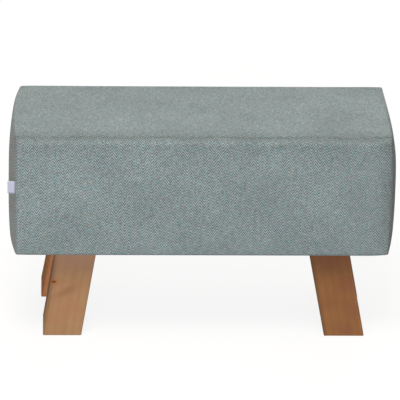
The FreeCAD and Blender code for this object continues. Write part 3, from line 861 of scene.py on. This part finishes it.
def satin_ribbon():
    """Close white weave of polyester satin: fine ribs along the ribbon and a soft shine."""
    material, tree = blank_material("polyester_satin_ribbon")
    cloth = add(tree, "UVMap", uv_map="weave").outputs["UV"]
    ribs = add(tree, "TexWave", {"Vector": cloth, "Scale": WAVE_PERIOD / THREAD, "Distortion": 0.6},
               bands_direction="Y").outputs["Fac"]
    stain = mottle(cloth, STAIN, 2)
    base = blend(stain, "#acb2cb", "#bcc1d8")
    # Painted shade greys the ribbon where it comes out of the seam
    along = add(tree, "SeparateXYZ", {0: cloth}).outputs["X"]
    from_fold = maths("ABSOLUTE", along)
    fluff_and_seam_shade = ramp(from_fold, SEAM_SHADE_FROM, SEAM_SHADE_TO, 0.0, 0.9)
    base = blend(fluff_and_seam_shade, base, "#6f7573")
    shade = ramp(ribs, low=0.93, high=1.0)
    colour = blend(1.0, base, shade, "MULTIPLY")
    bump = bumped(0.3, 0.1 * MM, ribs)
    return surfaced(material, {
        "Base Color": colour, "Roughness": 0.5, "Specular IOR Level": 0.4, "Sheen Weight": 0.1,
        "Normal": bump,
    })


ribbon = bmesh.new()
ribbon_weave = ribbon.loops.layers.uv.new("weave")
out_of_seam = Vector((-math.cos(LABEL_ANGLE), math.sin(LABEL_ANGLE), 0))
across_ribbon = Vector((out_of_seam.y, -out_of_seam.x, 0))
bmesh.ops.create_grid(ribbon, x_segments=LABEL_STEPS, y_segments=LABEL_ROWS, size=1)
for face in ribbon.faces:
    for loop in face.loops:
        flat = loop.vert.co
        loop[ribbon_weave].uv = (flat.x * LABEL_LENGTH, flat.y * LABEL_HALF_HEIGHT)
for vert in ribbon.verts:
    run, rise = vert.co.x, vert.co.y
    share = 1 - abs(run) ** LABEL_BEND
    reach = LABEL_LENGTH * share
    fold = LABEL_FOLD * math.copysign(min(1, abs(run) * LABEL_OPENING), run)
    curl = (LABEL_CURL * share ** 2 - LABEL_TWIST * share * rise) * MM
    droop = Vector((0, 0, -LABEL_DROOP * share ** 2))
    level = Vector((0, 0, rise * LABEL_HALF_HEIGHT))
    vert.co = LABEL_ROOT + out_of_seam * reach + across_ribbon * (fold + curl) + level + droop
bmesh.ops.recalc_face_normals(ribbon, faces=ribbon.faces)
label = piece("ribbon_label", ribbon, satin_ribbon(), "label_ribbon", "side_label")
thicken(label, RIBBON, offset=0)

# %% [markdown]
# ## Dust cover
# The open underside is closed with black spun-bonded cloth, stapled under the frame and notched round the
# legs. It hangs a little between the staples. A grid is cut with planes at the legs, and its points are
# lowered where nothing holds them.

# %% Spun-bonded dust cover
DUST_SAG = 2.0 * MM
DUST_CLOTH = 0.8 * MM
DUST_COLUMNS, DUST_ROWS = 110, 40
FREE_X, FREE_Y = 195 * MM, 113 * MM  # half the length and depth of the part that nothing holds
RIPPLE = 0.35 * MM
RIPPLE_SCALE = 25
DOT_PITCH = 3 * MM  # real bond dots are about 1 mm apart; they are drawn coarser, so that they show
SPUN_FIBRE = 2 * MM


def spun_bonded_cloth():
    """Black polypropylene fibre with a grid of pressed dots, faintly shiny."""
    material, tree = blank_material("spun_bonded_polypropylene")
    spot = add(tree, "TexCoord").outputs["Object"]
    dots = add(tree, "TexVoronoi", {"Vector": spot, "Scale": 1 / DOT_PITCH, "Randomness": 0.1},
               voronoi_dimensions="2D").outputs["Distance"]
    fibre = mottle(spot, SPUN_FIBRE, 4, 1.5)
    press = ramp(dots, 0.12, 0.3, 0.0, 1.0)
    fluff_and_seam_shade = blend(fibre, "#1b1b1d", "#303033")
    colour = blend(press, "#121214", fluff_and_seam_shade)
    depth = maths("MULTIPLY_ADD", fibre, 0.5, press)
    bump = bumped(0.5, 0.3 * MM, depth)
    return surfaced(material, {
        "Base Color": colour, "Roughness": 0.6, "Specular IOR Level": 0.4, "Sheen Weight": 0.2,
        "Normal": bump,
    })


dust_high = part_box("dust_cover")[1]
dust = bmesh.new()
bmesh.ops.create_grid(dust, x_segments=DUST_COLUMNS, y_segments=DUST_ROWS, size=1)
for vert in dust.verts:
    vert.co = Vector((vert.co.x * dust_high.x, vert.co.y * dust_high.y, dust_high.z))
notch_legs(dust, "front", wall_in_front=False)
notch_legs(dust, "rear", wall_in_front=True)
for vert in dust.verts:
    free_y = max(0.0, 1 - (vert.co.y / FREE_Y) ** 2)
    free_x = max(0.0, 1 - (vert.co.x / FREE_X) ** 2)
    ripple = RIPPLE * noise.noise(vert.co * RIPPLE_SCALE) * free_y
    vert.co.z -= DUST_SAG * free_x * free_y - min(0.0, ripple)
bmesh.ops.recalc_face_normals(dust, faces=dust.faces)
dust_cloth = piece("dust_cloth", dust, spun_bonded_cloth(), "dust_cloth", "dust_cover")
thicken(dust_cloth, DUST_CLOTH, offset=-1 if dust_cloth.data.polygons[0].normal.z > 0 else 1)

# %% [markdown]
# ## Leg timber
# The legs are solid planks with the grain along their length, oiled to a dull satin finish. They were cut
# from different boards: the front left one is tan, the rear left one russet and the right pair a darker
# brown; the russet colours are also lightened, as painted light against the shade under the seat. The CAD
# nodes have the right shape, so only their material changes. Growth rings are rings round a line far
# behind the plank, bent by slow noise, which gives broad soft arches on the face. Streaks and pores run
# along the grain and oil has soaked in unevenly. Painted shade darkens a strip along one long edge, like the
# leg's shaded side, and the timber is rougher there; painted light and shade change the tone near the seat,
# lighter on the tan leg and darker on the others. One small reddish knot sits at the outer edge of the
# front left leg.

# %% Oiled leg timber
LEG_HEIGHT = 197.6
RING_SPACING = 16 * MM
HEART = (0.02, 0.21, 0)
STREAK = 2.4 * MM
PORE = 0.7 * MM
BLOTCH = 40 * MM
BLOTCH_GRAIN = (1, 1, 0.2)
STREAK_GRAIN = (1, 1, 0.05)
# Painted shade along one long edge: its width, its colour and its greatest share
SIDE_SHADE_WIDTH = 4 * MM
SIDE_SHADE_TONE = "#65503c"
SIDE_SHADE_MOST = 0.5
# Painted light and shade near the seat: the heights over which it comes in
SEAT_LIGHT_SHADE_FROM, SEAT_LIGHT_SHADE_TO = 130 * MM, 185 * MM
PORE_RELIEF = 0.2 * MM
KNOT = Vector((-306.5, -128, 121)) * MM
KNOT_FORM = (0.6, 0.25, 1.1)
KNOT_CORE, KNOT_RIM = "#6d3a22", "#a8683c"
TRAIL = Vector((26, 0, -22)) * MM
TRAIL_TURN = math.radians(28)
TRAIL_FORM = (0.3, 0.2, 1.0)


def oval_gap(place, form):
    """Distance from the origin, measured along the axes of an oval."""
    oval = add(place.id_data, "VectorMath", {0: place, 1: form}, operation="MULTIPLY").outputs[0]
    return add(oval.id_data, "VectorMath", {0: oval}, operation="LENGTH").outputs["Value"]


def oiled_timber(name, early, late, deep, red, top, splay, arris, knot):
    """Dull satin brown: soft bands of early and late wood, fine pores, reddish and dark oil blotches."""
    material, tree = blank_material(name)
    spot = add(tree, "TexCoord").outputs["Object"]
    slope = splay / LEG_HEIGHT
    grain = mapped(spot, rotation=(0, math.atan(slope), 0))
    slow = mapped(grain, scale=BLOTCH_GRAIN)
    heart = mapped(slow, location=HEART)
    rings = add(tree, "TexWave", {
        "Vector": heart, "Scale": WAVE_PERIOD / RING_SPACING, "Distortion": 14, "Detail": 3,
        "Detail Scale": 0.35,
    }, wave_type="RINGS", rings_direction="Z").outputs["Fac"]
    along = mapped(grain, scale=STREAK_GRAIN)
    streak = mottle(along, STREAK, 4)
    pores = mottle(along, PORE, 1)
    blotch = mottle(slow, BLOTCH, 4)
    patch = mottle(spot, BLOTCH, 3)

    # Each tone comes in between two levels of its pattern, up to its greatest share
    wood = early
    for pattern, start, end, most, tone in (
        (rings, 0.2, 1.0, 0.35, late), (streak, 0.35, 0.7, 0.15, late), (blotch, 0.42, 0.7, 0.25, deep),
        (patch, 0.42, 0.66, 0.65, red), (pores, 0.64, 0.74, 0.35, deep),
    ):
        wood = blend(ramp(pattern, start, end, high=most), wood, tone)
    # Painted shade: a dark strip along one long edge, like the leg's shaded side
    parts = add(tree, "SeparateXYZ", {0: spot}).outputs
    level = maths("MULTIPLY_ADD", parts["Z"], slope, parts["X"])
    from_edge = maths("SUBTRACT", level, arris * MM)
    painted_side_shade = ramp(from_edge, SIDE_SHADE_WIDTH, 2 * SIDE_SHADE_WIDTH, SIDE_SHADE_MOST, 0.0)
    wood = blend(painted_side_shade, wood, SIDE_SHADE_TONE)
    # Painted light and shade near the seat, towards the top tone: lighter on the tan leg, darker on the
    # others
    seat_light_and_shade = ramp(parts["Z"], SEAT_LIGHT_SHADE_FROM, SEAT_LIGHT_SHADE_TO, 0.0, 0.65)
    wood = blend(seat_light_and_shade, wood, top)
    if knot:
        gap = oval_gap(mapped(spot, location=-KNOT), KNOT_FORM)
        rough_gap = maths("MULTIPLY_ADD", streak, 2.5 * MM, gap)
        # The grain bends round the knot and trails off inward and down
        trail = mapped(spot, location=-KNOT - TRAIL)
        laid = add(tree, "VectorRotate", {"Vector": trail, "Angle": TRAIL_TURN},
                   rotation_type="Y_AXIS").outputs[0]
        rough_reach = maths("MULTIPLY_ADD", patch, 10 * MM, oval_gap(laid, TRAIL_FORM))
        for pattern, start, end, most, tone in (
            (rough_reach, 5, 17, 0.7, deep), (rough_gap, 3, 12, 0.6, KNOT_RIM),
            (rough_gap, 2.6, 5.5, 0.95, KNOT_CORE),
        ):
            wood = blend(ramp(pattern, start * MM, end * MM, most, 0.0), wood, tone)
    relief = maths("MULTIPLY_ADD", pores, -0.6, streak)
    bump = bumped(0.15, PORE_RELIEF, relief)
    shine = ramp(streak, low=0.55, high=0.72)
    # Where the side shade is painted, the timber is also rougher
    wear_and_side_shade = ramp(painted_side_shade, 0.0, SIDE_SHADE_MOST, 0.0, 1.0)
    dull = add(tree, "Mix", {0: wear_and_side_shade, 2: shine, 3: 1.0}, data_type="FLOAT").outputs[0]
    return surfaced(material, {
        "Base Color": wood, "Roughness": dull, "Specular IOR Level": 0.12, "Normal": bump,
    })


def finish_nodes(material, *names):
    """Gives CAD nodes a material in place of the plain one they came with."""
    for name in names:
        mesh = nodes[name].data
        mesh.materials.clear()
        mesh.materials.append(material)
    print("material:", material.name, "on", len(names), "nodes")


tan = oiled_timber("tan_oiled_timber", "#a98561", "#9a7450", "#8b6544", "#a3765b", "#b28b75",
                   splay=-32, arris=-332, knot=True)
# The russet colours are redder timber, and are also lightened as painted light against the shade under the
# seat
russet = oiled_timber("russet_oiled_timber_painted_lighter", "#cf9362", "#ba7d4f", "#9f6743", "#b87654", "#b07048",
                      splay=-37, arris=-337, knot=False)
brown = oiled_timber("brown_oiled_timber", "#926640", "#835837", "#714a2f", "#86563d", "#7b5039",
                     splay=38, arris=255, knot=False)
finish_nodes(tan, "front_left_leg")
finish_nodes(russet, "rear_left_leg")
finish_nodes(brown, "front_right_leg", "rear_right_leg")

# %% [markdown]
# ## Frame boards
# Rails, end boards, rib and deck are birch plywood: pale rotary-cut veneer on the faces and thin layers,
# light and dark by turns, on the edges. The surface normal tells a face from an edge. Bearers and corner
# blocks are planed pine with strong yellow rings.

# %% Birch plywood and pine
PLY = 1.4 * MM
VENEER_FIGURE = 16.67 * MM
VENEER_STRETCH = 0.06
BOARD_FIBRE = 1.4286 * MM
PINE_RING = 4 * MM
PINE_FIBRE = 1.6667 * MM
PINE_STRETCH = 0.08
PITH = (0.03, 0.04, 0.02)
BOARD_RELIEF = 0.2 * MM


def along_grain(long, stretch):
    """Scale that draws a pattern out along one axis."""
    return [stretch if axis == long else 1.0 for axis in "XYZ"]


def dry_board(material, wood, fibre, roughness):
    """The material, ended by bare wood whose fibres vary in shade and height."""
    shade = ramp(fibre, low=0.9, high=1.06)
    colour = blend(1.0, wood, shade, "MULTIPLY")
    bump = bumped(0.2, BOARD_RELIEF, fibre)
    return surfaced(material, {
        "Base Color": colour, "Roughness": roughness, "Specular IOR Level": 0.3, "Normal": bump,
    })


def birch_plywood(name, thin, long):
    """Pale veneer with wavy figure on the faces, striped layers on the edges, a dry matt surface."""
    material, tree = blank_material(name)
    coordinates = add(tree, "TexCoord").outputs
    parts = add(tree, "SeparateXYZ", {0: coordinates["Object"]}).outputs
    facing = add(tree, "SeparateXYZ", {0: coordinates["Normal"]}).outputs
    turned_out = maths("ABSOLUTE", facing[thin])
    on_face = maths("GREATER_THAN", turned_out, 0.7)
    layer = maths("DIVIDE", parts[thin], PLY)
    ply = maths("PINGPONG", layer, 1.0)
    stripe = ramp(ply, 0.42, 0.58)
    drawn = mapped(coordinates["Object"], scale=along_grain(long, VENEER_STRETCH))
    figure = mottle(drawn, VENEER_FIGURE, 5, 1.2)
    fibre = mottle(drawn, BOARD_FIBRE, 2)
    veneer = blend(figure, "#c9a97a", "#e4cda4")
    edge = blend(stripe, "#a9845a", "#dcc39a")
    return dry_board(material, blend(on_face, edge, veneer), fibre, 0.7)


def planed_pine(name, long):
    """Yellow softwood with hard amber late-wood lines along its length, planed and unfinished."""
    material, tree = blank_material(name)
    spot = add(tree, "TexCoord").outputs["Object"]
    drawn = mapped(spot, scale=along_grain(long, PINE_STRETCH), location=PITH)
    rings = add(tree, "TexWave", {
        "Vector": drawn, "Scale": WAVE_PERIOD / PINE_RING, "Distortion": 3, "Detail": 2, "Detail Scale": 0.5,
    }, wave_type="RINGS", rings_direction=long, wave_profile="SAW").outputs["Fac"]
    fibre = mottle(drawn, PINE_FIBRE, 3)
    late = ramp(rings, 0.45, 1.0, 0.0, 0.8)
    return dry_board(material, blend(late, "#e6c896", "#b98450"), fibre, 0.65)


finish_nodes(birch_plywood("birch_plywood_rails", "Y", "X"), "front_rail", "rear_rail")
finish_nodes(birch_plywood("birch_plywood_ends", "X", "Y"), "left_end_board", "right_end_board", "centre_rib")
finish_nodes(birch_plywood("birch_plywood_deck", "Z", "X"), "seat_deck")
finish_nodes(planed_pine("planed_pine_bearers", "Y"), "left_leg_bearer", "right_leg_bearer")
blocks = [f"{row}_{side}_corner_block" for row in ("front", "rear") for side in ("left", "right")]
finish_nodes(planed_pine("planed_pine_blocks", "Z"), *blocks)

# %% [markdown]
# ## Fixings
# Screws, studs, washers, nuts and staples are zinc-plated steel. Plating is bright but never a mirror: a
# fine crystal cloudiness breaks up the reflections, and a thin yellow-blue passivation tints it.

# %% Zinc-plated steel
CRYSTAL = 4.545 * MM  # a real crystal is about 1 mm wide; it is drawn coarser, so that it shows


def zinc_plate(name, cool, warm, low_rough, high_rough):
    """Grey metal with a cloudy shine and a faint tint."""
    material, tree = blank_material(name)
    spot = add(tree, "TexCoord").outputs["Object"]
    cloud = mottle(spot, CRYSTAL, 4)
    colour = blend(cloud, cool, warm)
    rough = ramp(cloud, 0.3, 0.7, low_rough, high_rough)
    return surfaced(material, {"Base Color": colour, "Metallic": 1.0, "Roughness": rough})


finish_nodes(zinc_plate("zinc_plated_steel", "#b4b8be", "#c8c2a8", 0.28, 0.45),
             "frame_screws", "deck_screws", "leg_studs", "leg_washers", "leg_nuts")
finish_nodes(zinc_plate("galvanised_staple_wire", "#aeb2b8", "#c2c4c4", 0.22, 0.36),
             "cover_staples", "dust_cover_staples")

# %% [markdown]
# ## The cover's cloth sizes
# Each panel was cut flat and then stretched over the padding, so its flat size is that of the grid it was
# laid out from.

# %% Flat sizes of the cover panels
front_cut = along_cloth[SEAM_CELL]
seat_cut = along_cloth[SECTION_CELLS - SEAM_CELL] - front_cut
end_cut = (2 * HALF_DEPTH, EDGE_HEIGHT - UNDERSIDE + HALF_LENGTH - TACKED_X)
cuts = {"front": (2 * HALF_LENGTH, front_cut), "top": (2 * HALF_LENGTH, seat_cut),
        "rear": (2 * HALF_LENGTH, front_cut), "left_end": end_cut, "right_end": end_cut}
for panel, cover in covers.items():
    print("sheet:", cover.name, [round(v, 3) for v in cuts[panel]])

# %% [markdown]
# ## Light, floor and background
# The bench stands in a plain bright room, darker and warmer to the sides and brighter overhead, which
# gives part of the light. A large soft lamp high in front gives most of the rest, a low one reaches the
# legs, another lights the back, and a weak warm one glows at each side. The floor is grey paint for the
# light that it throws back, but to the eye it is white and glows, so that only a faint shadow of the
# bench is left on it. From below it lets the view through.

# %% Room
scene = bpy.context.scene
scene.view_settings.view_transform = "Standard"
SURROUND, SURROUND_TONE = 0.45, "#eef6ff"
SIDE_WALLS, SIDE_TONE = 0.01, "#ffe2c4"
CEILING, CEILING_TONE = 1.05, "#fff8ee"
# The room is read by direction: how far to the side, and how high, each part of it begins and is complete
SIDE_FROM, SIDE_TO = 0.1, 0.5
SIDE_TONE_FROM, SIDE_TONE_TO = 0.2, 0.9
CEILING_FROM, CEILING_TO = 0.55, 0.95


def seen_rays(tree):
    """One for what is looked at, straight or in a reflection, and nothing for light on its way."""
    ray = add(tree, "LightPath").outputs
    seen = maths("MAXIMUM", ray["Is Camera Ray"], ray["Is Glossy Ray"])
    return maths("MAXIMUM", seen, ray["Is Transmission Ray"])


world = bpy.data.worlds.new("white_room")
world.use_nodes = True
scene.world = world
room = world.node_tree
room.nodes.clear()
seen = seen_rays(room)
sight = add(room, "TexCoord").outputs["Generated"]
way = add(room, "SeparateXYZ", {0: sight}).outputs
towards_side = maths("ABSOLUTE", way["X"])
wall = ramp(towards_side, SIDE_FROM, SIDE_TO, SURROUND, SIDE_WALLS)
overhead = ramp(way["Z"], CEILING_FROM, CEILING_TO)
wall = add(room, "Mix", {0: overhead, 2: wall, 3: CEILING}).outputs[0]
strength = ramp(seen, low=wall, high=1.0)
beside = ramp(towards_side, SIDE_TONE_FROM, SIDE_TONE_TO)
tone = blend(beside, SURROUND_TONE, SIDE_TONE)
tone = blend(overhead, tone, CEILING_TONE)
tone = blend(seen, tone, "#ffffff")
glow = add(room, "Background", {"Color": tone, "Strength": strength}).outputs[0]
add(room, "OutputWorld", {"Surface": glow})
print("room: surround", SURROUND, "ceiling", CEILING)

# %% Lamps
AIM = Vector((0, 0, 0.3))
LAMPS = (  # name, place, size in metres, watts and colour
    ("key_softbox", Vector((-0.5, -2.3, 4.7)), 1.8, 165, "#fffaf4"),
    ("low_softbox", Vector((-1.4, -4.8, 0.7)), 1.5, 120, "#ffffff"),
    ("back_softbox", Vector((0.9, 4.6, 1.8)), 1.6, 70, "#ffffff"),
    ("left_glow", Vector((-3.6, -0.4, 0.9)), 1.2, 13, "#ffa878"),
    ("right_glow", Vector((3.6, -0.4, 0.9)), 1.2, 7, "#ffa878"),
)
for name, place, size, watts, tone in LAMPS:
    lamp = bpy.data.lights.new(name, "AREA")
    lamp.size = size
    lamp.energy = watts
    lamp.color = linear(tone)[:3]
    stand = bpy.data.objects.new(name, lamp)
    stand.location = place
    stand.rotation_euler = (AIM - place).to_track_quat("-Z", "Y").to_euler()
    scene.collection.objects.link(stand)

print("lamps:", len(LAMPS))

# %% Floor
FLOOR_GLOW = 0.88
FLOOR_PAINT = "#9a9a9a"
FLOOR_HALF = 30
white, tree = blank_material("white_floor")
seen = seen_rays(tree)
paint = blend(seen, FLOOR_PAINT, "#ffffff")
matt = add(tree, "BsdfDiffuse", {"Color": paint}).outputs[0]
bright = add(tree, "Emission", {"Color": (1, 1, 1, 1), "Strength": 1.0}).outputs[0]
share = maths("MULTIPLY", seen, FLOOR_GLOW)
lit = add(tree, "MixShader", {0: share, 1: matt, 2: bright}).outputs[0]
below = add(tree, "NewGeometry").outputs["Backfacing"]
clear = add(tree, "BsdfTransparent").outputs[0]
floor_look = add(tree, "MixShader", {0: below, 1: lit, 2: clear}).outputs[0]
add(tree, "OutputMaterial", {"Surface": floor_look})
bm = bmesh.new()
bmesh.ops.create_grid(bm, x_segments=1, y_segments=1, size=FLOOR_HALF)
floor_mesh = bpy.data.meshes.new("floor")
bm.to_mesh(floor_mesh)
bm.free()
floor_mesh.materials.append(white)
floor = bpy.data.objects.new("floor", floor_mesh)
scene.collection.objects.link(floor)
print("floor:", 2 * FLOOR_HALF, "m square")
